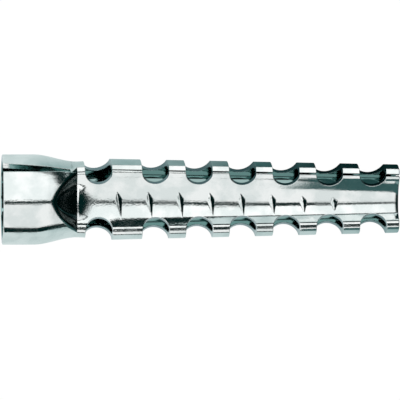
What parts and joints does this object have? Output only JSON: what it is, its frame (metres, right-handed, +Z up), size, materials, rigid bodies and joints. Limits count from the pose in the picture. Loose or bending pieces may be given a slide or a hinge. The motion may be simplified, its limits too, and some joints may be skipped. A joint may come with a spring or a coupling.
{
  "type": "metal expansion plug",
  "caption": "Rolled sheet-steel wall plug: a plain split collar, then a tapered body pressed in to a trough with notched, toothed ridges and slanted thread ribs.",
  "frame": {"origin": "centre of the collar's mouth, on the axis of its bore", "axes": "+X from the mouth to the tip along the collar's axis, +Z up, with the sleeve lying on its round back, its trough facing up and the seam's side rolled up by 4 degrees"},
  "size_m": [0.038, 0.0086, 0.0086],
  "materials": {
    "zinc_steel": "bright zinc plating on pressed sheet steel"
  },
  "bodies": {
    "root": {"anchor_sleeve": "zinc_steel"}
  },
  "joints": []
}
